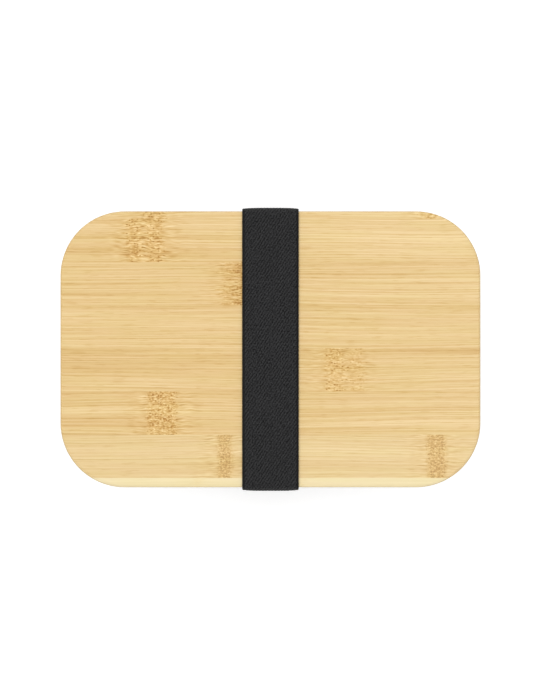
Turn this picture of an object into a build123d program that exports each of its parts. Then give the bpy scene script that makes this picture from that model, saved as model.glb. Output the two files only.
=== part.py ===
"""Bento lunch box: a drawn steel container, a bamboo lid with a silicone seal, a movable divider and an
elastic band.

Frame: +Z up, X along the length, Y across, origin at the middle of the band's underside, where the box stands.
Every plan outline is an offset of the lid's rounded rectangle, so all of them share their corner centres.
"""

import os
from math import asin, atan, atan2, cos, degrees, hypot, sin

from build123d import *

# ---- Driving dimensions, in millimetres -------------------------------------------------------------------

# Elastic band
BAND_WIDTH = 25.0
BAND_THICK = 1.3
BAND_GAP = 0.3  # play between the band and what it is wrapped around
SEAM_LENGTH = 15.0  # overlap of the webbing's two ends, on the rear side
SEAM_TOP = 28.0  # height where the seam ends and the free side of the band begins

# Bamboo lid, glued up from two layers of staves
LID_LENGTH = 186.0
LID_WIDTH = 122.3
LID_CORNER = 28.5
PLY = 6.0  # thickness of one layer of staves
LID_FLANGE = 7.5  # thickness of the lid outside its plug
LID_TOP_EDGE = 1.5  # rounding of the upper edge
LID_LOW_EDGE = 0.6  # rounding of the lower edges
STAVE_PITCH = 19.1
TOP_STAVE_SHIFT = 0.45  # how far the joint nearest the middle lies from the middle
UNDER_STAVE_SHIFT = TOP_STAVE_SHIFT + STAVE_PITCH / 2

# Seal in the lid's plug
PLUG_INSET = 5.5  # from the lid's outline to the plug's side
GROOVE_DEPTH = 2.0
GROOVE_HEIGHT = 2.2
SEAL_CLEARANCE = 0.15  # between the lips and the container's wall
LIP_THICK = 0.5

# Drawn steel container
SHEET = 0.7
CONTAINER_HEIGHT = 52.4
RIM_INSET = 1.0  # from the lid's outline to the rolled rim
CURL_RADIUS = 1.5
WALL_TAPER = 4.0  # how far each wall leans in from rim to base
BASE_RADIUS = 8.3  # inside radius between wall and base
FOOT_WIDTH = 2.5
FOOT_RAMP = 2.4
FOOT_RISE = 1.6  # height of the base panel above the foot ring
FOOT_BEND = 1.0
PANEL_MARGIN = 1.5
SEAT_GAP = 0.1  # between rim and lid

# Divider
DIVIDER_X = 22.0
DIVIDER_PLATE = 0.8
DIVIDER_SEAL_WIDTH = 3.0
DIVIDER_SEAL_DEPTH = 2.6
DIVIDER_BITE = 1.5  # how deep the plate's edge sits in its seal
DIVIDER_CLEARANCE = 0.3
DIVIDER_TOP_GAP = 1.2  # below the lid's plug
HEM_THICK = 2.0
HEM_HEIGHT = 3.0

# Thread of the band's seam
STITCH_LENGTH = 2.2
STITCH_PITCH = 2.9
STITCH_WIDTH = 0.5
STITCH_HEIGHT = 0.4
STITCH_PROUD = 0.15
STITCH_MARGIN = 2.6  # from the seam's edges to its rows of stitches

# ---- Heights and half widths that follow -------------------------------------------------------------------

HALF_LENGTH = LID_LENGTH / 2
HALF_WIDTH = LID_WIDTH / 2
BASE_Z = BAND_THICK + BAND_GAP
RIM_Z = BASE_Z + CONTAINER_HEIGHT
FLANGE_Z = RIM_Z + SEAT_GAP
LID_TOP_Z = FLANGE_Z + LID_FLANGE
PLY_JOINT_Z = LID_TOP_Z - PLY
PLUG_Z = LID_TOP_Z - 2 * PLY
GROOVE_Z = (PLUG_Z + FLANGE_Z) / 2
PLUG_Y = HALF_WIDTH - PLUG_INSET
FOOT_TOP_Z = BASE_Z + SHEET
PANEL_TOP_Z = FOOT_TOP_Z + FOOT_RISE
CURL_Y = HALF_WIDTH - RIM_INSET - CURL_RADIUS
CURL_Z = RIM_Z - CURL_RADIUS
WALL_FOOT_Y = CURL_Y - CURL_RADIUS - WALL_TAPER
WALL_LEAN = atan(WALL_TAPER / (CURL_Z - FOOT_TOP_Z))
WALL_TOP = (CURL_Y - CURL_RADIUS * cos(WALL_LEAN), CURL_Z + CURL_RADIUS * sin(WALL_LEAN))
# where the arc between wall and base meets the foot, which is also below the arc's centre
BASE_ARC_Y = WALL_FOOT_Y - BASE_RADIUS * (1 / cos(WALL_LEAN) - sin(WALL_LEAN) / cos(WALL_LEAN))
FOOT_Y = BASE_ARC_Y - FOOT_WIDTH
PANEL_Y = FOOT_Y - FOOT_RAMP - PANEL_MARGIN


def rounded_outline(half_width):
    """The rounded rectangle parallel to the lid's outline whose sides lie half_width from the X axis."""
    inset = HALF_WIDTH - half_width
    RectangleRounded(LID_LENGTH - 2 * inset, LID_WIDTH - 2 * inset, LID_CORNER - inset)


def outline_path():
    """The lid's outline as a closed path that starts at the middle of the +Y side and leaves it along +X."""
    with BuildLine() as path:
        half = FilletPolyline(
            (0, HALF_WIDTH),
            (HALF_LENGTH, HALF_WIDTH),
            (HALF_LENGTH, -HALF_WIDTH),
            (0, -HALF_WIDTH),
            radius=LID_CORNER,
        )
        mirror(half, about=Plane.YZ)
    return path.wires()[0]


def wall_y(z):
    """Distance from the X axis to the inner face of the container's long wall at height z."""
    return WALL_TOP[0] - (WALL_TOP[1] - z) * sin(WALL_LEAN) / cos(WALL_LEAN)


def save(builder, name):
    """Label a finished piece and write it as its own STEP file."""
    builder.part.label = name
    export_step(builder.part, f"parts/{name}.step")


# ---- Container ---------------------------------------------------------------------------------------------


def make_container():
    """One drawn sheet: base panel, foot ring, leaning wall and a rim rolled outwards."""
    with BuildPart() as container:
        with BuildSketch(Plane.YZ) as section:
            with BuildLine():
                FilletPolyline(
                    (PANEL_Y, PANEL_TOP_Z),
                    (FOOT_Y - FOOT_RAMP, PANEL_TOP_Z),
                    (FOOT_Y, FOOT_TOP_Z),
                    (wall_y(FOOT_TOP_Z), FOOT_TOP_Z),
                    WALL_TOP,
                    radius=[FOOT_BEND, FOOT_BEND, BASE_RADIUS],
                )
                CenterArc(
                    (CURL_Y, CURL_Z),
                    CURL_RADIUS,
                    start_angle=180 - degrees(WALL_LEAN),
                    arc_size=-(270 - degrees(WALL_LEAN)),
                )
                offset(amount=SHEET, side=Side.RIGHT)
            make_face()
        sweep(sections=section.sketch, path=outline_path())
        with BuildSketch(Plane.XY.offset(PANEL_TOP_Z - SHEET)):
            rounded_outline(PANEL_Y)
        extrude(amount=SHEET)
    save(container, "container_shell")


# ---- Lid ---------------------------------------------------------------------------------------------------


def save_staves(layer, shift, name):
    """Saw a layer of the lid into staves along X, numbered from -Y to +Y."""
    joints = [shift + row * STAVE_PITCH for row in range(-4, 5)]
    edges = [-HALF_WIDTH, *(y for y in joints if abs(y) < HALF_WIDTH), HALF_WIDTH]
    for number, (low, high) in enumerate(zip(edges, edges[1:]), start=1):
        with BuildPart() as stave:
            add(layer.part)
            with Locations((0, (low + high) / 2, PLY_JOINT_Z)):
                Box(2 * LID_LENGTH, high - low, 4 * PLY, mode=Mode.INTERSECT)
        save(stave, f"{name}_{number}")


def make_lid_top():
    """The upper layer of staves, with its rounded upper edge."""
    with BuildPart() as layer:
        with BuildSketch(Plane.XY.offset(PLY_JOINT_Z)):
            rounded_outline(HALF_WIDTH)
        extrude(amount=PLY)
        fillet(layer.faces().sort_by(Axis.Z)[-1].edges(), LID_TOP_EDGE)
    save_staves(layer, TOP_STAVE_SHIFT, "lid_top_stave")


def make_lid_underside():
    """The lower layer: the rest of the flange, and the plug with the groove that holds the seal."""
    with BuildPart() as layer:
        with BuildSketch(Plane.XY.offset(FLANGE_Z)):
            rounded_outline(HALF_WIDTH)
        extrude(amount=PLY_JOINT_Z - FLANGE_Z)
        fillet(layer.faces().sort_by(Axis.Z)[0].edges(), LID_LOW_EDGE)
        with BuildSketch(Plane.XY.offset(PLUG_Z)):
            rounded_outline(PLUG_Y)
        extrude(amount=FLANGE_Z - PLUG_Z)
        fillet(layer.faces().sort_by(Axis.Z)[0].edges(), LID_LOW_EDGE)
        with BuildSketch(Plane.XY.offset(GROOVE_Z - GROOVE_HEIGHT / 2)):
            rounded_outline(PLUG_Y)
            offset(amount=-GROOVE_DEPTH, mode=Mode.SUBTRACT)
        extrude(amount=GROOVE_HEIGHT, mode=Mode.SUBTRACT)
    save_staves(layer, UNDER_STAVE_SHIFT, "lid_under_stave")


def make_lid_seal():
    """Silicone ring: a root in the plug's groove and two lips that lean up against the wall."""
    root_y = PLUG_Y - GROOVE_DEPTH
    low = GROOVE_Z - GROOVE_HEIGHT / 2
    high = GROOVE_Z + GROOVE_HEIGHT / 2
    neck_y = PLUG_Y + LIP_THICK
    with BuildPart() as seal:
        with BuildSketch(Plane.YZ) as section:
            with BuildLine():
                Polyline(
                    (root_y, low),
                    (PLUG_Y, low),
                    (neck_y, low),
                    (wall_y(low + LIP_THICK) - SEAL_CLEARANCE, low + LIP_THICK),
                    (wall_y(low + 2 * LIP_THICK) - SEAL_CLEARANCE, low + 2 * LIP_THICK),
                    (neck_y, low + 1.5 * LIP_THICK),
                    (neck_y, high - 1.5 * LIP_THICK),
                    (wall_y(high - LIP_THICK) - SEAL_CLEARANCE, high - LIP_THICK / 2),
                    (wall_y(high) - SEAL_CLEARANCE, high + LIP_THICK / 2),
                    (neck_y, high),
                    (root_y, high),
                    close=True,
                )
            make_face()
        sweep(sections=section.sketch, path=outline_path())
    save(seal, "lid_seal_ring")


# ---- Divider -----------------------------------------------------------------------------------------------


def divider_section(inset):
    """The container's cross-section, inset from its two walls and its base, up to the divider's top edge."""
    arc = BASE_RADIUS - inset
    low = FOOT_TOP_Z + inset
    high = PLUG_Z - DIVIDER_TOP_GAP
    low_y = wall_y(low) - inset / cos(WALL_LEAN)
    top_y = wall_y(high) - inset / cos(WALL_LEAN)
    with BuildSketch(Plane.YZ.offset(DIVIDER_X)) as section:
        with BuildLine():
            FilletPolyline((top_y, high), (low_y, low), (-low_y, low), (-top_y, high), radius=arc)
            Line((top_y, high), (-top_y, high))
        make_face()
        with Locations((0, PANEL_TOP_Z + inset)):
            Rectangle(LID_WIDTH, LID_WIDTH, align=(Align.CENTER, Align.MIN), mode=Mode.INTERSECT)
    return section.sketch


def make_divider():
    """A steel plate with a hemmed top edge, and the silicone channel round its other three sides."""
    hem_z = PLUG_Z - DIVIDER_TOP_GAP - HEM_HEIGHT / 2
    hem_length = 2 * (wall_y(hem_z) - DIVIDER_CLEARANCE - DIVIDER_SEAL_DEPTH - 1)
    with BuildPart() as plate:
        extrude(
            divider_section(DIVIDER_CLEARANCE + DIVIDER_SEAL_DEPTH - DIVIDER_BITE),
            amount=DIVIDER_PLATE / 2,
            both=True,
        )
        with BuildSketch(Plane.XZ.offset(-hem_length / 2)):
            with Locations((DIVIDER_X, hem_z)):
                SlotOverall(HEM_HEIGHT, HEM_THICK, rotation=90)
        extrude(amount=hem_length)
    save(plate, "divider_plate")
    with BuildPart() as seal:
        extrude(divider_section(DIVIDER_CLEARANCE), amount=DIVIDER_SEAL_WIDTH / 2, both=True)
        extrude(
            divider_section(DIVIDER_CLEARANCE + DIVIDER_SEAL_DEPTH),
            amount=DIVIDER_SEAL_WIDTH,
            both=True,
            mode=Mode.SUBTRACT,
        )
        add(plate.part, mode=Mode.SUBTRACT)
    save(seal, "divider_seal")


# ---- Elastic band ------------------------------------------------------------------------------------------


def band_corners():
    """The inner line of half the loop, at +Y: the lid's lower edge, and the corner below the base's arc."""
    edge = (HALF_WIDTH + BAND_GAP, FLANGE_Z)
    arc_centre = (BASE_ARC_Y, FOOT_TOP_Z + BASE_RADIUS)
    arc = BASE_RADIUS + SHEET + BAND_GAP
    to_arc = (arc_centre[0] - edge[0], arc_centre[1] - edge[1])
    angle = atan2(to_arc[1], to_arc[0]) + asin(arc / hypot(*to_arc))
    drop = edge[1] - BAND_THICK
    return edge, (edge[0] - drop * cos(angle) / sin(angle), BAND_THICK), arc, angle


def make_band_loop():
    """The whole loop of webbing, without the overlap of its ends."""
    edge, foot, arc, _ = band_corners()
    top_z = LID_TOP_Z + BAND_GAP
    bend = LID_TOP_EDGE + BAND_GAP
    with BuildPart() as loop:
        with BuildSketch(Plane.YZ.offset(-BAND_WIDTH / 2)):
            with BuildLine():
                FilletPolyline(
                    (edge[0], top_z),
                    edge,
                    foot,
                    (-foot[0], foot[1]),
                    (-edge[0], edge[1]),
                    (-edge[0], top_z),
                    radius=[bend, bend, arc, arc, bend, bend],
                    close=True,
                )
            inner = make_face()
            offset(inner, amount=BAND_THICK)
            add(inner, mode=Mode.SUBTRACT)
        extrude(amount=BAND_WIDTH)
    return loop


def make_seam():
    """The webbing's outer end on the rear side, and the stitches that sew it to the layer under it."""
    edge, _, _, angle = band_corners()
    middle_z = SEAM_TOP - 1 - SEAM_LENGTH / 2
    middle_y = edge[0] - (edge[1] - middle_z) * cos(angle) / sin(angle)
    under_layer = Plane(
        origin=(0, middle_y, middle_z),
        x_dir=(1, 0, 0),
        z_dir=(0, -sin(angle), cos(angle)),
    )
    across = BAND_WIDTH - 2 * STITCH_MARGIN
    along = SEAM_LENGTH - 2 * STITCH_MARGIN
    with BuildPart() as stitching:
        with BuildSketch(under_layer.offset(2 * BAND_THICK + STITCH_PROUD - STITCH_HEIGHT)):
            with GridLocations(STITCH_PITCH, along, int(across // STITCH_PITCH), 2):
                SlotOverall(STITCH_LENGTH, STITCH_WIDTH)
            with GridLocations(across, STITCH_PITCH, 2, int(along // STITCH_PITCH)):
                SlotOverall(STITCH_LENGTH, STITCH_WIDTH, rotation=90)
        extrude(amount=STITCH_HEIGHT)
    with BuildPart() as webbing_end:
        with BuildSketch(under_layer.offset(BAND_THICK)):
            Rectangle(BAND_WIDTH, SEAM_LENGTH)
        extrude(amount=BAND_THICK)
        add(stitching.part, mode=Mode.SUBTRACT)
    return webbing_end, stitching


def band_run(loop, low, high, side=0):
    """The part of the loop between two heights, and only at +Y or -Y where side is 1 or -1."""
    with BuildPart() as run:
        add(loop.part)
        with Locations((0, side * LID_WIDTH, (low + high) / 2)):
            Box(2 * BAND_WIDTH, 2 * LID_WIDTH, high - low, mode=Mode.INTERSECT)
    return run


def make_band():
    """The band, saved as the run over the lid, the two free sides, and the run under the container."""
    loop = make_band_loop()
    webbing_end, stitching = make_seam()
    with BuildPart() as base:
        add(band_run(loop, -1, SEAM_TOP).part)
        add(webbing_end.part)
    save(base, "band_base")
    save(stitching, "band_stitching")
    save(band_run(loop, SEAM_TOP, FLANGE_Z, side=-1), "band_side_front")
    save(band_run(loop, SEAM_TOP, FLANGE_Z, side=1), "band_side_rear")
    save(band_run(loop, FLANGE_Z, LID_TOP_Z + 2 * BAND_THICK), "band_top")


os.makedirs("parts", exist_ok=True)
make_container()
make_lid_top()
make_lid_underside()
make_lid_seal()
make_divider()
make_band()
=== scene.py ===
"""Looks of the bento lunch box: a bamboo lid, an elastic band, and a steel container and divider with seals.

Shapes are in metres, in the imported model's frame: X along the box, Y across it, Z up. The materials' patterns
are worked out in millimetres, apart from the webbing's and the thread's, which follow a UV map named weave.
"""

import math
import random

import bpy
import numpy as np
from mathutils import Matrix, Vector


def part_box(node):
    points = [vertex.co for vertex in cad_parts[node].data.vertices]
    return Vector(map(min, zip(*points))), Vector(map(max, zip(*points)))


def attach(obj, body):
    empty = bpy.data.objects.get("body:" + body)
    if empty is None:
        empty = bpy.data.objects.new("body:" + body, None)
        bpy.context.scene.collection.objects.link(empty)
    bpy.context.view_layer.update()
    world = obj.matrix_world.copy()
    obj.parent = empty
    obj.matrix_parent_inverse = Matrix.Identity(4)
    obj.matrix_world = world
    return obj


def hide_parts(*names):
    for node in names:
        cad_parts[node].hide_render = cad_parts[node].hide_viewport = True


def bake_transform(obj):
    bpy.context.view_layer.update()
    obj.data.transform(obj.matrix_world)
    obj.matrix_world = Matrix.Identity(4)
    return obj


MM = 0.001
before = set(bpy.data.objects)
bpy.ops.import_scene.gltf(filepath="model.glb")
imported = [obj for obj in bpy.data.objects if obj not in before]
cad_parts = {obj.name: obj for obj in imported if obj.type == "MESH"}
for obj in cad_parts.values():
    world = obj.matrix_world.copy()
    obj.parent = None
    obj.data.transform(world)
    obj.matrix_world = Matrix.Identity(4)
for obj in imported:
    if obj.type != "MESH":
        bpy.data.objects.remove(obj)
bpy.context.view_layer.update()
stave_low, stave_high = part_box("lid_top_stave_4")  # it reaches from one end of the lid to the other
LID_END_X = stave_high.x
LID_TOP_Z = stave_high.z
PLY_Z = stave_low.z  # where the lid's two layers are glued


# ---- Node helpers ------------------------------------------------------------------------------------------


class Tree:
    """Builds one material's node tree with short calls; sockets and plain numbers mix freely."""

    def __init__(self, name):
        self.material = bpy.data.materials.new(name)
        self.material.use_nodes = True
        self.nodes = self.material.node_tree.nodes
        self.links = self.material.node_tree.links
        self.shader = self.nodes["Principled BSDF"]

    def feed(self, socket, value):
        """Link value to socket if it is a socket, else set it there."""
        if isinstance(value, bpy.types.NodeSocket):
            self.links.new(value, socket)
        else:
            socket.default_value = value

    def math(self, operation, a, b=0.0):
        node = self.nodes.new("ShaderNodeMath")
        node.operation = operation
        self.feed(node.inputs[0], a)
        self.feed(node.inputs[1], b)
        return node.outputs[0]

    def add(self, a, b):
        return self.math("ADD", a, b)

    def sub(self, a, b):
        return self.math("SUBTRACT", a, b)

    def mul(self, a, b):
        return self.math("MULTIPLY", a, b)

    def weigh(self, *pairs):
        """The sum of each value times its weight."""
        terms = [self.mul(value, weight) for value, weight in pairs]
        total = terms[0]
        for term in terms[1:]:
            total = self.add(total, term)
        return total

    def spread(self, value, low, high, to_low=0.0, to_high=1.0, smooth=False):
        """Map low..high to to_low..to_high, clamped."""
        node = self.nodes.new("ShaderNodeMapRange")
        node.interpolation_type = "SMOOTHSTEP" if smooth else "LINEAR"
        for socket, number in zip(node.inputs, (value, low, high, to_low, to_high)):
            self.feed(socket, number)
        return node.outputs[0]

    def split(self, vector):
        node = self.nodes.new("ShaderNodeSeparateXYZ")
        self.feed(node.inputs[0], vector)
        return node.outputs

    def join(self, x, y, z):
        node = self.nodes.new("ShaderNodeCombineXYZ")
        for socket, value in zip(node.inputs, (x, y, z)):
            self.feed(socket, value)
        return node.outputs[0]

    def noise(self, vector, scale=1.0, detail=2.0, rough=0.5, flat=False):
        """Noise from 0 to 1; a flat one leaves Z out."""
        node = self.nodes.new("ShaderNodeTexNoise")
        node.noise_dimensions = "2D" if flat else "3D"
        self.feed(node.inputs["Vector"], vector)
        self.feed(node.inputs["Scale"], scale)
        self.feed(node.inputs["Detail"], detail)
        self.feed(node.inputs["Roughness"], rough)
        return node.outputs["Fac"]

    def cells(self, vector):
        """Distance to the nearest of a scatter of points one unit apart, and a random number for each."""
        node = self.nodes.new("ShaderNodeTexVoronoi")
        node.voronoi_dimensions = "2D"
        self.feed(node.inputs["Vector"], vector)
        node.inputs["Scale"].default_value = 1.0
        return node.outputs["Distance"], self.split(node.outputs["Color"])[0]

    def mix(self, factor, a, b, blend="MIX"):
        node = self.nodes.new("ShaderNodeMix")
        node.data_type = "RGBA"
        node.blend_type = blend
        self.feed(node.inputs[0], factor)
        self.feed(node.inputs[6], a)
        self.feed(node.inputs[7], b)
        return node.outputs[2]

    def bump(self, height, distance, strength):
        """A normal tilted by the slope of height, where a height of 1 stands for distance, in metres."""
        node = self.nodes.new("ShaderNodeBump")
        self.feed(node.inputs["Height"], height)
        node.inputs["Distance"].default_value = distance
        node.inputs["Strength"].default_value = strength
        return node.outputs[0]

    def millimetres(self):
        """The point's place in millimetres."""
        node = self.nodes.new("ShaderNodeTexCoord")
        scaled = self.nodes.new("ShaderNodeVectorMath")
        scaled.operation = "SCALE"
        self.links.new(node.outputs["Object"], scaled.inputs[0])
        scaled.inputs["Scale"].default_value = 1 / MM
        return scaled.outputs[0]

    def weave_place(self):
        """The point's U and V in the weave."""
        node = self.nodes.new("ShaderNodeUVMap")
        node.uv_map = "weave"
        u, v, _ = self.split(node.outputs[0])
        return u, v

    def set(self, **values):
        """Set shader inputs by name, with _ for a space, and return the material."""
        for key, value in values.items():
            self.feed(self.shader.inputs[key.replace("_", " ")], value)
        return self.material


def rgb(red, green, blue):
    """A colour given as 0 to 255 sRGB, as the shader's linear colour."""
    linear = [((c / 255 + 0.055) / 1.055) ** 2.4 for c in (red, green, blue)]
    return (*linear, 1.0)


def dress(node, material):
    """Give a CAD node its material."""
    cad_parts[node].material_slots[0].material = material


# ---- Bamboo ------------------------------------------------------------------------------------------------

# Colour of the wood by its lightness, from the darkest fleck to the palest fibre
BAMBOO_RAMP = (
    (0.00, rgb(178, 130, 64)),
    (0.22, rgb(202, 160, 92)),
    (0.42, rgb(221, 185, 123)),
    (0.62, rgb(234, 204, 149)),
    (0.82, rgb(247, 220, 168)),
    (1.00, rgb(253, 234, 193)),
)
STRAW = rgb(244, 229, 186)  # bleached wood
EDGE_SHADE_COLOUR = rgb(170, 146, 104)  # painted shade on the lid's rounded edges, where they turn away from the light
HONEY_TINT = (1.0, 0.95, 0.83, 1.0)  # multiplies the colour at a knuckle
GREEN_TINT = (0.97, 1.0, 0.90, 1.0)  # multiplies it in broad streaks
SEED_STEP = 31.7  # keeps the patterns of two staves apart
LAYER_STEP = 17.0  # keeps the patterns of two layers of one stave apart
LAYER_SHIFT = 0.7  # how far the pattern shifts across the lid for each step up
UNDER_STAVES = 7

# Lengths in the bamboo's patterns, in mm
KNUCKLE_SPACING = 150.0  # from one joint of a culm to the next
KNUCKLE_SOFT = 1.5  # either side of a knuckle's edge, which fades across it
HALO = 15.0  # how far a knuckle's halo reaches beside it
DARK_FROM = 4.2  # a stave's dark edge starts this far from its +Y side
DARK_FULL = 1.0  # and is at its darkest from here
GLUE_FADE = 0.18  # half the width of a glue line between staves
PLY_FADE = 0.20  # half the width of the glue line between layers
GLUE_CORE = 0.05  # half the width of the darkest part of both


class Stave:
    """What sets one stave of bamboo apart from the next."""

    def __init__(self, seed, left, right, knuckles=(), pale=0.0, comb=0.4, honey=0.15, ragged=12.0, dark=0.0):
        self.seed = seed
        self.left = left  # lightness at the -X end
        self.right = right  # lightness at the +X end
        self.knuckles = knuckles  # (x, half width, strength) of each joint of the culm, in mm
        self.pale = pale  # how far it is bleached towards straw
        self.comb = comb  # how short a knuckle's dashes are
        self.honey = honey  # how dark a knuckle is
        self.ragged = ragged  # how far a knuckle's fibres run out of line, in mm
        self.dark = dark  # how dark its +Y edge is


class Bamboo(Tree):
    """Flat-pressed bamboo with its fibres along X, for one stave of the lid. All its lengths are in mm."""

    def __init__(self, node, stave):
        super().__init__("bamboo_" + node)
        self.stave = stave
        self.seed = SEED_STEP * stave.seed
        self.low, self.high = (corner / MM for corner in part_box(node))
        self.x, self.y, self.z = self.split(self.millimetres())
        # y on the lid's face, carried on down its sides
        self.level = self.add(self.y, self.mul(self.sub(self.z, LID_TOP_Z / MM), LAYER_SHIFT))
        coordinates = self.nodes.new("ShaderNodeTexCoord")
        normal_x, _, normal_z = self.split(coordinates.outputs["Normal"])
        self.facing_up = self.math("ABSOLUTE", normal_z)  # 1 on the lid's face, 0 on its sides
        self.end = self.spread(self.math("ABSOLUTE", normal_x), 0.45, 0.95)  # 1 where fibres are cut across
        self.core, self.halo = self.knuckles()
        self.bent = self.bend()
        self.long_fibre = self.grain(0.0022, 1.45, 3.0, 0.7)
        self.short_fibre = self.grain(0.045, 1.60, 4.0, 0.7)
        self.hair = self.grain(0.007, 1.75, 5.0, 0.6)
        self.dash = self.grain(stave.comb, 1.70, 7.0, 0.7)

    def streaks(self, y, along, across, layer, rough=0.5, detail=1.0):
        """Noise stretched along X, centred on zero, for one layer of the pattern.

        along and across are how fast it changes, per mm.
        """
        depth = self.add(y, self.mul(self.z, LAYER_SHIFT))
        place_x = self.add(self.mul(self.x, along), self.seed)
        place_y = self.add(self.mul(depth, across), LAYER_STEP * layer)
        return self.sub(self.noise(self.join(place_x, place_y, 0.0), 1.0, detail, rough, flat=True), 0.5)

    def grain(self, along, across, layer, rough=0.5):
        """Streaks that follow the bent fibres."""
        return self.streaks(self.bent, along, across, layer, rough)

    def knuckles(self):
        """How much of a knuckle is here, ragged fibre by fibre, and the halo that fades out beside it."""
        fray_place = self.join(self.seed, self.mul(self.level, 1.1), self.mul(self.x, 0.02))
        fray = self.mul(self.sub(self.noise(fray_place, 1.0, 1.0, 0.6), 0.5), self.stave.ragged)
        wander_place = self.join(self.seed, self.mul(self.level, 0.15), 40.0)
        wander = self.mul(self.sub(self.noise(wander_place, 1.0, 1.0), 0.5), self.stave.ragged * 0.4)
        core = 0.0
        halo = 0.0
        for place, half, strength in self.stave.knuckles:
            off = self.math("ABSOLUTE", self.sub(self.x, self.add(wander, place)))
            off = self.add(off, fray)
            inside = self.spread(off, half + KNUCKLE_SOFT, half - KNUCKLE_SOFT, smooth=True)
            around = self.spread(off, half + HALO, half, smooth=True)
            core = self.add(core, self.mul(inside, strength))
            halo = self.add(halo, self.mul(around, strength))
        return core, halo

    def bend(self):
        """y with the slow drift of the fibres, and their swirl round a knuckle."""
        drift = self.mul(self.streaks(self.y, 0.010, 0.05, 50.0, detail=0.0), 3.0)
        swirl = self.mul(self.mul(self.streaks(self.y, 0.13, 0.30, 54.0), self.halo), 1.2)
        return self.add(self.add(self.y, drift), swirl)

    def fibres(self):
        """Lightness of the fibres, from hairlines to broad tone. It is weak where they are cut across."""
        broad = self.grain(0.003, 0.09, 1.0)
        stripe = self.grain(0.004, 0.34, 2.0)
        vein = self.spread(self.grain(0.11, 1.9, 6.0, 0.6), 0.10, 0.20)
        lightness = self.weigh(
            (self.long_fibre, 0.14),
            (self.short_fibre, 0.11),
            (self.hair, 0.54),
            (broad, 0.16),
            (stripe, 0.03),
            (vein, -0.11),
        )
        return self.mul(lightness, self.sub(1.0, self.mul(self.end, 0.85)))

    def knuckle_tone(self):
        """A knuckle's light and dark dashes on honey, with pits in it and a faint comb beside it."""
        fleck = self.grain(self.stave.comb * 2.2, 2.00, 8.0, 0.6)
        pit_place = self.join(self.add(self.mul(self.x, 0.85), self.seed), self.mul(self.level, 1.05), 0.0)
        distance, chance = self.cells(pit_place)
        pits = self.mul(self.spread(distance, 0.42, 0.24), self.spread(chance, 0.72, 0.84))
        inside = self.sub(self.weigh((self.dash, 1.25), (fleck, 0.70), (pits, -0.45)), self.stave.honey)
        beside = self.mul(self.halo, self.sub(1.0, self.math("MINIMUM", self.core, 1.0)))
        comb = self.sub(self.mul(self.grain(0.15, 1.55, 10.0, 0.7), 0.80), 0.035)
        return self.weigh((self.core, inside), (beside, comb))

    def shade(self):
        """Darkening at the stave's edge, in the glue lines, and on the cut ends of its fibres."""
        edge = self.spread(self.y, self.high.y - DARK_FROM, self.high.y - DARK_FULL)
        glue = self.math("MINIMUM", self.sub(self.y, self.low.y), self.sub(self.high.y, self.y))
        ply = self.math("ABSOLUTE", self.sub(self.z, PLY_Z / MM))
        pores = self.noise(self.join(self.seed, self.mul(self.y, 1.7), self.mul(self.z, 2.1)), 1.0, 2.0, 0.6)
        return self.weigh(
            (edge, self.stave.dark),
            (self.spread(glue, GLUE_FADE, GLUE_CORE), 0.05),
            (self.spread(ply, PLY_FADE, GLUE_CORE), 0.12),
            (self.end, self.spread(pores, 0.50, 0.64, 0.06, 0.32)),
        )

    def tone(self, lightness):
        """Colour for a lightness from 0 to 1."""
        ramp = self.nodes.new("ShaderNodeValToRGB")
        stops = ramp.color_ramp.elements
        for stop, (position, colour) in zip(stops, (BAMBOO_RAMP[0], BAMBOO_RAMP[-1])):
            stop.position = position
            stop.color = colour
        for position, colour in BAMBOO_RAMP[1:-1]:
            stops.new(position).color = colour
        self.feed(ramp.inputs[0], lightness)
        return ramp.outputs[0]

    def tint(self, colour):
        """The colour bleached, tinted at the knuckles and along the grain, with painted shade on the rounded
        edges.
        """
        colour = self.mix(self.stave.pale, colour, STRAW)
        honey = self.mul(self.add(self.core, self.mul(self.halo, 0.4)), 0.7)
        colour = self.mix(honey, colour, HONEY_TINT, "MULTIPLY")
        green = self.spread(self.streaks(self.y, 0.03, 0.22, 60.0), -0.12, 0.16)
        colour = self.mix(self.mul(green, 0.5), colour, GREEN_TINT, "MULTIPLY")
        # painted shade: where the rounded edges turn away from the light, the colour goes halfway to a darker
        # brown
        painted_edge_shade = self.mul(self.spread(self.facing_up, 0.90, 0.40), self.spread(self.facing_up, 0.0, 0.25))
        return self.mix(self.mul(painted_edge_shade, 0.5), colour, EDGE_SHADE_COLOUR)

    def build(self):
        """The finished material."""
        lid_end = LID_END_X / MM
        lightness = self.spread(self.x, -lid_end, lid_end, self.stave.left, self.stave.right)
        lightness = self.add(lightness, self.fibres())
        lightness = self.add(lightness, self.knuckle_tone())
        lightness = self.sub(lightness, self.shade())
        combed = self.mul(self.core, self.dash)
        strands = self.add(self.long_fibre, self.short_fibre)
        relief = self.add(strands, self.weigh((self.hair, 1.2), (combed, 1.5)))
        return self.set(
            Base_Color=self.tint(self.tone(lightness)),
            Roughness=self.spread(self.add(self.hair, combed), -0.2, 0.3, 0.58, 0.44),
            Normal=self.bump(relief, 0.12 * MM, 0.6),
            Specular_IOR_Level=0.35,
            Coat_Weight=0.06,
            Coat_Roughness=0.35,
        )


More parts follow.
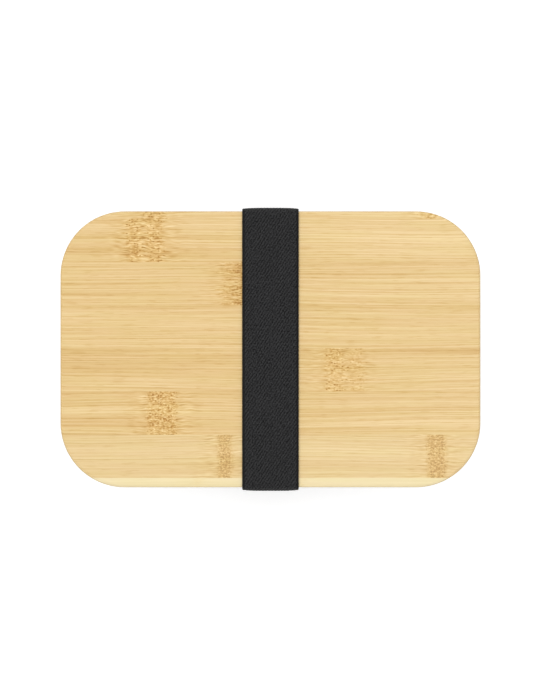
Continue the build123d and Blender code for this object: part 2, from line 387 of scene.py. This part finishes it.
# The staves of the lid's face, numbered from -Y to +Y
TOP_STAVES = {
    8: Stave(8, 0.54, 0.66, ((-52.0, 4.5, 0.9), (69.5, 4.0, 0.7))),
    7: Stave(7, 0.50, 0.62, ((-60.3, 3.3, 1.0), (-51.6, 3.6, 1.0)), comb=0.27, honey=0.08),
    6: Stave(6, 0.50, 0.59, ((-18.5, 3.0, 0.35), (-7.0, 8.5, 1.0)), honey=0.20),
    5: Stave(5, 0.56, 0.58, dark=0.12),
    4: Stave(4, 0.50, 0.57, ((28.5, 4.0, 0.8), (38.0, 3.0, 0.45)), honey=0.05, dark=0.11),
    3: Stave(3, 0.48, 0.56, ((-48.0, 6.4, 1.0),), comb=0.48, honey=0.08, ragged=7.0, dark=0.04),
    2: Stave(2, 0.50, 0.57, ((-20.3, 3.0, 1.0), (73.3, 4.0, 1.0)), 0.17, comb=0.7, honey=0.22, ragged=4.0),
    1: Stave(1, 0.60, 0.62, ((-32.0, 0.8, 0.5), (14.0, 0.8, 0.5)), 0.75),
}


def dress_lid():
    """Give each stave its own cut of bamboo."""
    for number, stave in TOP_STAVES.items():
        node = f"lid_top_stave_{number}"
        dress(node, Bamboo(node, stave).build())
    dice = random.Random(4)
    for number in range(1, UNDER_STAVES + 1):
        node = f"lid_under_stave_{number}"
        place = dice.uniform(-85, 85)
        knuckles = tuple((place + k * KNUCKLE_SPACING, dice.uniform(5, 9), 1.0) for k in (-1, 0, 1))
        light = dice.uniform(0.54, 0.68)
        stave = Stave(20 + number, light, light + dice.uniform(-0.05, 0.05), knuckles)
        dress(node, Bamboo(node, stave).build())


# ---- Steel and silicone ------------------------------------------------------------------------------------

# How fast polishing lines change along X, Y and Z, per mm
LINES_UPRIGHT = (9.0, 9.0, 0.15)
LINES_LEVEL = (0.12, 0.12, 9.0)


def steel(name, rates):
    """Satin stainless steel with its polishing lines."""
    t = Tree(name)
    place = t.millimetres()
    x, y, z = t.split(place)
    lines = t.noise(t.join(*(t.mul(axis, rate) for axis, rate in zip((x, y, z), rates))), 1.0, 3.0, 0.6)
    cloud = t.noise(place, 0.035, 3.0, 0.55)
    scuff = t.noise(t.join(t.mul(x, 0.5), t.mul(y, 0.35), t.mul(z, 1.4)), 1.0, 4.0, 0.7)
    rough = t.add(t.spread(cloud, 0.35, 0.7, 0.26, 0.285), t.mul(t.sub(lines, 0.5), 0.14))
    rough = t.add(rough, t.mul(t.spread(scuff, 0.62, 0.75), 0.025))
    return t.set(
        Base_Color=t.mix(t.spread(lines, 0.3, 0.7), rgb(172, 171, 168), rgb(190, 188, 185)),
        Metallic=1.0,
        Roughness=rough,
        Normal=t.bump(lines, 0.018 * MM, 0.5),
    )


def silicone(name, colour, dusty, through):
    """Matte silicone with a faint moulding grain and a little dust; through is how much light goes in."""
    t = Tree(name)
    place = t.millimetres()
    grain = t.noise(place, 6.0, 3.0, 0.6)
    dust = t.noise(place, 0.5, 3.0, 0.6)
    return t.set(
        Base_Color=t.mix(t.spread(dust, 0.35, 0.75), colour, dusty),
        Roughness=t.spread(grain, 0.3, 0.7, 0.42, 0.58),
        Normal=t.bump(grain, 0.02 * MM, 0.5),
        Subsurface_Weight=through,
        Subsurface_Radius=(2.0 * MM, 2.0 * MM, 2.0 * MM),
        Subsurface_Scale=1.0,
        Sheen_Weight=0.1,
    )


def dress_container():
    """Give the container, the divider and the two seals their materials."""
    dress("container_shell", steel("satin_steel", LINES_UPRIGHT))
    dress("divider_plate", steel("brushed_steel", LINES_LEVEL))
    dress("lid_seal_ring", silicone("seal_silicone", rgb(226, 226, 220), rgb(206, 207, 203), 0.3))
    dress("divider_seal", silicone("divider_silicone", rgb(92, 94, 96), rgb(108, 110, 112), 0.0))


# ---- Elastic webbing ---------------------------------------------------------------------------------------

HALF_BAND = 12.5 * MM
BAND_THICK = 1.25 * MM  # over the ridges
EDGE_ROUND = 1.1 * MM  # width of its rounded edges
CROWN = 0.3 * MM  # how much thinner the webbing is there than in its middle
SELVEDGE = 1.0 * MM  # plain edge without twill
EDGE_SHADE_FADE = 0.2 * MM  # either side of where the painted shade on the webbing's edges and inner side starts
RIDGE = 0.12 * MM  # height of the twill
TWILL_X = 1.40 * MM  # repeat of the twill across the band
TWILL_S = 2.10 * MM  # repeat of the twill along the band
TWILL_YARNS = 3  # yarns in one repeat across the band
BAND_COLUMNS = 70  # faces across the outer side
INNER_COLUMNS = 12  # faces across the inner side
EDGE_STEPS = 8  # faces round each edge


def webbing():
    """Charcoal elastic webbing in a steep twill; U is across the band and V along it, in metres."""
    t = Tree("elastic_webbing")
    u, v = t.weave_place()
    column = t.mul(u, TWILL_YARNS / TWILL_X)
    yarn = t.math("FLOOR", column)
    middle = t.add(yarn, 0.5)
    off = t.sub(column, middle)
    course = t.mul(v, 1 / TWILL_S)
    slip = t.mul(t.sub(t.noise(t.join(t.mul(yarn, 7.3), t.mul(course, 1.3), 3.0), 1.0, 1.0), 0.5), 0.7)
    phase = t.add(t.add(t.mul(middle, 1 / TWILL_YARNS), course), slip)
    floats = t.add(0.5, t.mul(t.math("COSINE", t.mul(phase, 2 * math.pi)), 0.5))
    round_top = t.sub(1.0, t.mul(t.mul(off, off), 3.2))
    crest = t.mul(t.math("POWER", floats, 0.8), round_top)
    dots = t.noise(t.join(t.mul(u, 1700.0), t.mul(v, 1500.0), 0.0), 1.0, 1.0, 0.7)
    fuzz = t.noise(t.join(t.mul(u, 6000.0), t.mul(v, 4500.0), 0.0), 1.0, 2.0, 0.7)
    patch = t.noise(t.join(t.mul(u, 120.0), t.mul(v, 60.0), 0.0), 1.0, 2.0, 0.6)
    height = t.add(crest, t.mul(t.sub(fuzz, 0.5), 0.5))
    # painted light: the floats' crests are coloured lighter and the hollows between yarns darker, as light
    # falls on the twill; dots and patch are the yarn's own flecks
    painted_light_and_flecks = t.weigh((crest, 1.5), (t.sub(dots, 0.5), 4.9), (t.sub(patch, 0.5), 0.40))
    colour = t.mix(t.spread(painted_light_and_flecks, -0.25, 1.5), rgb(1, 1, 1), rgb(56, 56, 57))
    inner_edge = HALF_BAND - SELVEDGE
    # painted shade: the band's rounded edges and its inner side are coloured towards near black, as where they
    # turn away from the light
    edge = t.spread(t.math("ABSOLUTE", u), inner_edge - EDGE_SHADE_FADE, inner_edge + EDGE_SHADE_FADE)
    return t.set(
        Base_Color=t.mix(t.mul(edge, 0.8), colour, rgb(12, 12, 13)),
        Roughness=t.spread(fuzz, 0.3, 0.8, 0.75, 0.95),
        Normal=t.bump(height, 0.12 * MM, 0.8),
        Specular_IOR_Level=0.2,
        Sheen_Weight=0.04,
        Sheen_Roughness=0.5,
    )


def mesh_object(name, vertices, faces, uvs, material):
    """A smooth object from vertices and faces, with a weave UV for each corner of each face."""
    mesh = bpy.data.meshes.new(name)
    mesh.from_pydata([tuple(v) for v in vertices], [], faces)
    layer = mesh.uv_layers.new(name="weave")
    layer.data.foreach_set("uv", np.array(uvs, np.float32).ravel())
    mesh.materials.append(material)
    mesh.polygons.foreach_set("use_smooth", [True] * len(mesh.polygons))
    mesh.update()
    piece = bpy.data.objects.new(name, mesh)
    bpy.context.scene.collection.objects.link(piece)
    return piece


def band_profile():
    """(x, height, whether the twill shows) round the webbing's section, and each point's U."""
    half = BAND_THICK / 2
    flat = HALF_BAND - EDGE_ROUND
    face = [-flat + 2 * flat * k / BAND_COLUMNS for k in range(BAND_COLUMNS + 1)]
    angles = [math.pi / 2 - math.pi * k / EDGE_STEPS for k in range(1, EDGE_STEPS)]
    edge = [(EDGE_ROUND * math.cos(a), (half - CROWN / 2) * math.sin(a) - CROWN / 2) for a in angles]
    profile = [(x, half - CROWN * (x / flat) ** 4, 1.0) for x in face]
    profile += [(flat + x, height, 0.0) for x, height in edge]
    profile += [(flat - 2 * flat * k / INNER_COLUMNS, -half, 0.0) for k in range(INNER_COLUMNS + 1)]
    profile += [(-flat - x, height, 0.0) for x, height in reversed(edge)]
    steps = [math.dist(a[:2], b[:2]) for a, b in zip(profile, profile[1:] + profile[:1])]
    across = np.concatenate([[0.0], np.cumsum(steps)]) - flat
    return profile, across


def twill_relief(x, s):
    """How far the surface lies below the tops of the ridges."""
    ridge = 0.5 + 0.5 * math.cos(2 * math.pi * (x / TWILL_X + s / TWILL_S))
    shown = min(1.0, max(0.0, (HALF_BAND - abs(x)) / SELVEDGE - 0.5))
    return RIDGE * (1.0 - ridge * shown)


def weave_band(name, place, normal, along, closed, thinned=1.0):
    """A mesh of webbing along a line of (y, z) places, in the middle of the webbing's thickness.

    thinned is its thickness as a share of the full one. An open strip gets flat ends.
    """
    profile, across = band_profile()
    ring = len(profile)
    rows = len(place)
    vertices = []
    for row in range(rows):
        for x, height, shown in profile:
            out = (height - shown * twill_relief(x, along[row])) * thinned
            vertices.append((x, *(place[row] + normal[row] * out)))
    faces = []
    uvs = []
    for row in range(rows if closed else rows - 1):
        here = row * ring
        after = (row + 1) % rows * ring
        low_v = along[row]
        high_v = along[row + 1]
        for k in range(ring):
            beside = (k + 1) % ring
            faces.append((here + k, after + k, after + beside, here + beside))
            uvs += [(across[k], low_v), (across[k], high_v), (across[k + 1], high_v), (across[k + 1], low_v)]
    if not closed:
        for row, step in ((0, 1), (rows - 1, -1)):
            cap = [row * ring + k for k in range(ring)][::step]
            faces.append(cap)
            uvs += [(vertices[i][0], along[row]) for i in cap]
    return mesh_object(name, vertices, faces, uvs, webbing())


# ---- The band's loop ---------------------------------------------------------------------------------------

BASE_ARC = 10.6 * MM  # outer radius of the bend under the container
LID_ARC = 3.1 * MM  # outer radius of the bend over the lid's edge
ARC_SHARE = 0.4  # the most of the straight run into a bend that the bend takes up
BELLY_Z = 40.0 * MM  # height where the free sides stand out most from a straight line
BELLY = 1.15 * MM  # how far they do, which keeps them clear of the rim when the lid rises
BELLY_ARC = 120.0 * MM
LOOP_STEP = 0.3 * MM
LOOP_ROWS = 740


def band_corners():
    """Corners of the band's outer line, as (y, z, radius).

    They run anticlockwise seen from +X, from the +Y foot up. The sizes come from the -Y side, which has no
    seam on it, and the +Y side mirrors it.
    """
    base_low, base_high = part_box("band_base")
    top_low, top_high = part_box("band_top")
    edge_y = top_high.y
    edge_z = top_low.z
    slope = (edge_y + base_low.y) / (edge_z - base_high.z)
    foot_y = edge_y - slope * edge_z
    rear = [
        (foot_y, 0.0, BASE_ARC),
        (foot_y + slope * BELLY_Z + BELLY, BELLY_Z, BELLY_ARC),
        (edge_y, edge_z, LID_ARC),
        (edge_y, top_high.z, LID_ARC),
    ]
    return rear + [(-y, z, radius) for y, z, radius in reversed(rear)]


def rounded_loop(corners, step):
    """Points round a closed polygon of (y, z, radius) corners, about step apart."""
    arcs = []
    for i, (y, z, radius) in enumerate(corners):
        here = Vector((y, z))
        run_in = Vector(corners[i - 1][:2]) - here
        run_out = Vector(corners[(i + 1) % len(corners)][:2]) - here
        back = run_in.normalized()
        ahead = run_out.normalized()
        half = back.angle(ahead) / 2
        reach = min(radius / math.tan(half), ARC_SHARE * run_in.length)
        radius = reach * math.tan(half)
        centre = here + (back + ahead).normalized() * (radius / math.sin(half))
        arcs.append((here + back * reach, here + ahead * reach, centre, radius))
    points = []
    for i, (enter, leave, centre, radius) in enumerate(arcs):
        first = math.atan2(*(enter - centre).yx)
        turn = (math.atan2(*(leave - centre).yx) - first) % (2 * math.pi)
        steps = max(2, round(radius * turn / step))
        for k in range(steps + 1):
            angle = first + turn * k / steps
            points.append(centre + radius * Vector((math.cos(angle), math.sin(angle))))
        after = arcs[(i + 1) % len(arcs)][0]
        steps = max(1, round((after - leave).length / step))
        points.extend(leave.lerp(after, k / steps) for k in range(1, steps))
    return points


def even_loop(points, count):
    """count evenly spaced places round a closed line, each with its outward normal and distance along it."""
    line = np.array([[*p] for p in points] + [[*points[0]]])
    lengths = np.concatenate([[0.0], np.cumsum(np.linalg.norm(np.diff(line, axis=0), axis=1))])
    along = np.linspace(0.0, lengths[-1], count, endpoint=False)
    place = np.stack([np.interp(along, lengths, line[:, k]) for k in (0, 1)], axis=1)
    tangent = np.roll(place, -1, axis=0) - np.roll(place, 1, axis=0)
    tangent /= np.linalg.norm(tangent, axis=1)[:, None]
    normal = np.stack([tangent[:, 1], -tangent[:, 0]], axis=1)
    return place, normal, along, lengths[-1]


def make_band():
    """The loop of webbing as one closed mesh."""
    place, normal, along, total = even_loop(rounded_loop(band_corners(), LOOP_STEP), LOOP_ROWS)
    fitted = round(total / TWILL_S) * TWILL_S  # a whole number of repeats, so that the weave closes
    along = np.append(along, total) * (fitted / total)
    place = place - normal * (BAND_THICK / 2)
    return weave_band("elastic_band", place, normal, along, closed=True)


# ---- The band's seam ---------------------------------------------------------------------------------------

END_THINNED = 0.96  # thickness of the outer end, as a share of the band's
END_BELOW = 4.4 * MM  # how far it runs on below the stitches
END_ABOVE = 2.2 * MM  # how far it runs on above them
END_ROWS = 64
END_RAMP = 0.22  # share of its length in which it comes up through the band's face
END_START = 0.06  # share of its thickness that is already above the face at the lower end
STITCH_LENGTH = 2.2 * MM
STITCH_PITCH = 2.9 * MM
STITCH_MARGIN = 0.25 * MM  # from a line of stitches to the outside of their box
ROW_STITCHES = 6  # in each row across the band
COLUMN_STITCHES = 3  # in each column along it
STITCH_DIP = 0.36 * MM  # how far below the webbing's face the thread's middle line starts
STITCH_RISE = 0.34 * MM  # how far it rises from there
THREAD_RADIUS = 0.23 * MM
THREAD_TIP = 0.75  # thickness of a stitch's ends, as a share of its middle's
THREAD_SIDES = 8
THREAD_STEPS = 10
THREAD_STEP_V = 0.25 * MM  # V from one step to the next
THREAD_TWIST = 9000.0  # radians for each unit of V


def sewing_thread():
    """Charcoal thread with the twist of its plies; U is the share of a turn round it and V runs along it."""
    t = Tree("sewing_thread")
    u, v = t.weave_place()
    twist = t.math("SINE", t.add(t.mul(v, THREAD_TWIST), t.mul(u, 2 * math.pi)))
    # painted light: the colour follows the twist, lighter on the plies' ridges and darker in the grooves
    # between them, where the bump also puts them
    return t.set(
        Base_Color=t.mix(t.spread(twist, -1.0, 1.0), rgb(34, 34, 36), rgb(88, 88, 92)),
        Roughness=0.6,
        Normal=t.bump(twist, 0.04 * MM, 0.6),
        Sheen_Weight=0.15,
    )


def rear_side(z, out):
    """(y, z) of a place at height z near the foot of the rear side, out from its face, and the normal."""
    foot, belly = band_corners()[:2]
    run = (Vector(belly[:2]) - Vector(foot[:2])).normalized()
    normal = Vector((run.y, -run.x))
    on_face = Vector(foot[:2]) + run * ((z - foot[1]) / run.y)
    return on_face + normal * out, normal


def make_webbing_end():
    """The outer end of the webbing, which steps over the inner one low on the rear side and is cut square."""
    box_low, box_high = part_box("band_stitching")
    low = box_low.z - END_BELOW
    high = box_high.z + END_ABOVE
    places = []
    normals = []
    along = []
    for row in range(END_ROWS):
        share = row / (END_ROWS - 1)
        z = low + (high - low) * share
        ramp = min(1.0, share / END_RAMP)
        rise = END_START + (1 - END_START) * ramp * ramp * (3 - 2 * ramp)
        place, normal = rear_side(z, BAND_THICK * (rise - 0.5) * END_THINNED)
        places.append([*place])
        normals.append([*normal])
        along.append(z)
    return weave_band("webbing_end", np.array(places), np.array(normals), along, False, END_THINNED)


def stitch_ends():
    """(x, z) of both ends of each stitch: two rows across the band and two columns along it."""
    low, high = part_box("band_stitching")
    half_x = high.x - STITCH_MARGIN
    half_z = (high.z - low.z) / 2 - STITCH_MARGIN
    middle_z = (high.z + low.z) / 2
    reach = STITCH_LENGTH / 2
    stitches = []
    for z in (middle_z - half_z, middle_z + half_z):
        for k in range(ROW_STITCHES):
            x = (k - (ROW_STITCHES - 1) / 2) * STITCH_PITCH
            stitches.append(((x - reach, z), (x + reach, z)))
    for x in (-half_x, half_x):
        for k in range(COLUMN_STITCHES):
            z = middle_z + (k - (COLUMN_STITCHES - 1) / 2) * STITCH_PITCH
            stitches.append(((x, z - reach), (x, z + reach)))
    return stitches


def stitch_outline(start, end):
    """Rings of places round the thread along one stitch, which dips into the webbing at both ends."""
    start_x, start_z = start
    end_x, end_z = end
    tangent = Vector((end_x - start_x, 0, end_z - start_z)).normalized()
    outline = []
    for k in range(THREAD_STEPS + 1):
        share = k / THREAD_STEPS
        x = start_x + (end_x - start_x) * share
        z = start_z + (end_z - start_z) * share
        crest = math.sin(math.pi * share) ** 0.6
        place, normal = rear_side(z, BAND_THICK * END_THINNED + STITCH_RISE * crest - STITCH_DIP)
        centre = Vector((x, *place))
        out = Vector((0, *normal))
        side = tangent.cross(out).normalized()
        size = THREAD_RADIUS * (THREAD_TIP + (1 - THREAD_TIP) * crest)
        for j in range(THREAD_SIDES):
            angle = 2 * math.pi * j / THREAD_SIDES
            outline.append(centre + (out * math.cos(angle) + side * math.sin(angle)) * size)
    return outline


def make_stitches():
    """A box of stitches through both layers, each a short closed thread."""
    vertices = []
    faces = []
    uvs = []
    for start, end in stitch_ends():
        first = len(vertices)
        vertices += stitch_outline(start, end)
        for k in range(THREAD_STEPS):
            a = first + k * THREAD_SIDES
            b = a + THREAD_SIDES
            v = k * THREAD_STEP_V
            w = (k + 1) * THREAD_STEP_V
            for j in range(THREAD_SIDES):
                beside = (j + 1) % THREAD_SIDES
                faces.append((a + j, a + beside, b + beside, b + j))
                here = j / THREAD_SIDES
                there = (j + 1) / THREAD_SIDES
                uvs += [(here, v), (there, v), (there, w), (here, w)]
        for ring, step in ((first, -1), (first + THREAD_STEPS * THREAD_SIDES, 1)):
            faces.append([ring + j for j in range(THREAD_SIDES)][::step])
            uvs += [(0.5, 0.0)] * THREAD_SIDES
    return mesh_object("seam_thread", vertices, faces, uvs, sewing_thread())


# ---- Floor, light and camera -------------------------------------------------------------------------------

FLOOR_SIZE = 8.0
FLOOR_NEAR = 500.0  # the floor grows brighter between these distances from the box's middle, in mm
FLOOR_FAR = 2500.0
FLOOR_GLOW = (0.4, 0.75)  # its own light at those two distances
SKY_FADE = 0.35  # how far up the surround gets dimmer; straight up is 1
SKY_HORIZON = 1.0  # its strength at the horizon
SKY_ABOVE = 0.48  # and above
LAMP_PLACE = (-0.15, 0.2, 1.6)
LAMP_TARGET = (0, 0, 0.05)
LAMP_SIZE = 2.4
LAMP_POWER = 24  # watts
LENS = 110  # mm, as the camera takes it
SENSOR = 36  # mm
SIGHT_X = -0.2 * MM  # the place on the lid in the middle of the view
SIGHT_Y = -0.3 * MM
SEEN = 309.6 * MM  # height of the view at the lid's face


def make_floor():
    """A pale floor that fades into the surround."""
    bpy.ops.mesh.primitive_plane_add(size=FLOOR_SIZE, location=(0, 0, 0))
    floor = bpy.context.object
    floor.name = "floor"
    t = Tree("pale_floor")
    x, y, _ = t.split(t.millimetres())
    away = t.math("SQRT", t.add(t.mul(x, x), t.mul(y, y)))
    material = t.set(
        Base_Color=(0.9, 0.9, 0.9, 1),
        Roughness=0.9,
        Specular_IOR_Level=0.1,
        Emission_Color=(1, 1, 1, 1),
        Emission_Strength=t.spread(away, FLOOR_NEAR, FLOOR_FAR, *FLOOR_GLOW),
    )
    floor.data.materials.append(material)


def make_surround():
    """A soft white surround, brightest at the horizon."""
    world = bpy.data.worlds.new("studio")
    bpy.context.scene.world = world
    world.use_nodes = True
    sky = world.node_tree
    place = sky.nodes.new("ShaderNodeTexCoord")
    height = sky.nodes.new("ShaderNodeSeparateXYZ")
    fade = sky.nodes.new("ShaderNodeMapRange")
    fade.inputs["From Max"].default_value = SKY_FADE
    fade.inputs["To Min"].default_value = SKY_HORIZON
    fade.inputs["To Max"].default_value = SKY_ABOVE
    sky.links.new(place.outputs["Generated"], height.inputs[0])
    sky.links.new(height.outputs["Z"], fade.inputs["Value"])
    sky.links.new(fade.outputs[0], sky.nodes["Background"].inputs["Strength"])
    sky.nodes["Background"].inputs["Color"].default_value = (1, 1, 1, 1)


def make_lamp():
    """One large soft lamp above the box."""
    lamp = bpy.data.lights.new("softbox", "AREA")
    lamp.shape = "SQUARE"
    lamp.size = LAMP_SIZE
    lamp.energy = LAMP_POWER
    holder = bpy.data.objects.new("softbox", lamp)
    holder.location = LAMP_PLACE
    holder.rotation_euler = (Vector(LAMP_TARGET) - holder.location).to_track_quat("-Z", "Y").to_euler()
    bpy.context.scene.collection.objects.link(holder)


def make_camera():
    """Straight down over the box, with its length across the picture."""
    lens = bpy.data.cameras.new("camera")
    lens.lens = LENS
    lens.sensor_width = SENSOR
    camera = bpy.data.objects.new("camera", lens)
    camera.location = (SIGHT_X, SIGHT_Y, LID_TOP_Z + SEEN * LENS / SENSOR)
    bpy.context.scene.collection.objects.link(camera)
    bpy.context.scene.camera = camera


# ---- Making ------------------------------------------------------------------------------------------------

dress_lid()
dress_container()

band = make_band()
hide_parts("band_top", "band_side_front", "band_side_rear", "band_base")
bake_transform(band)
webbing_end = make_webbing_end()
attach(webbing_end, "band_lower")
stitches = make_stitches()
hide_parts("band_stitching")
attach(stitches, "band_lower")

make_floor()
make_surround()
make_lamp()
make_camera()
bpy.context.scene.view_settings.view_transform = "Standard"
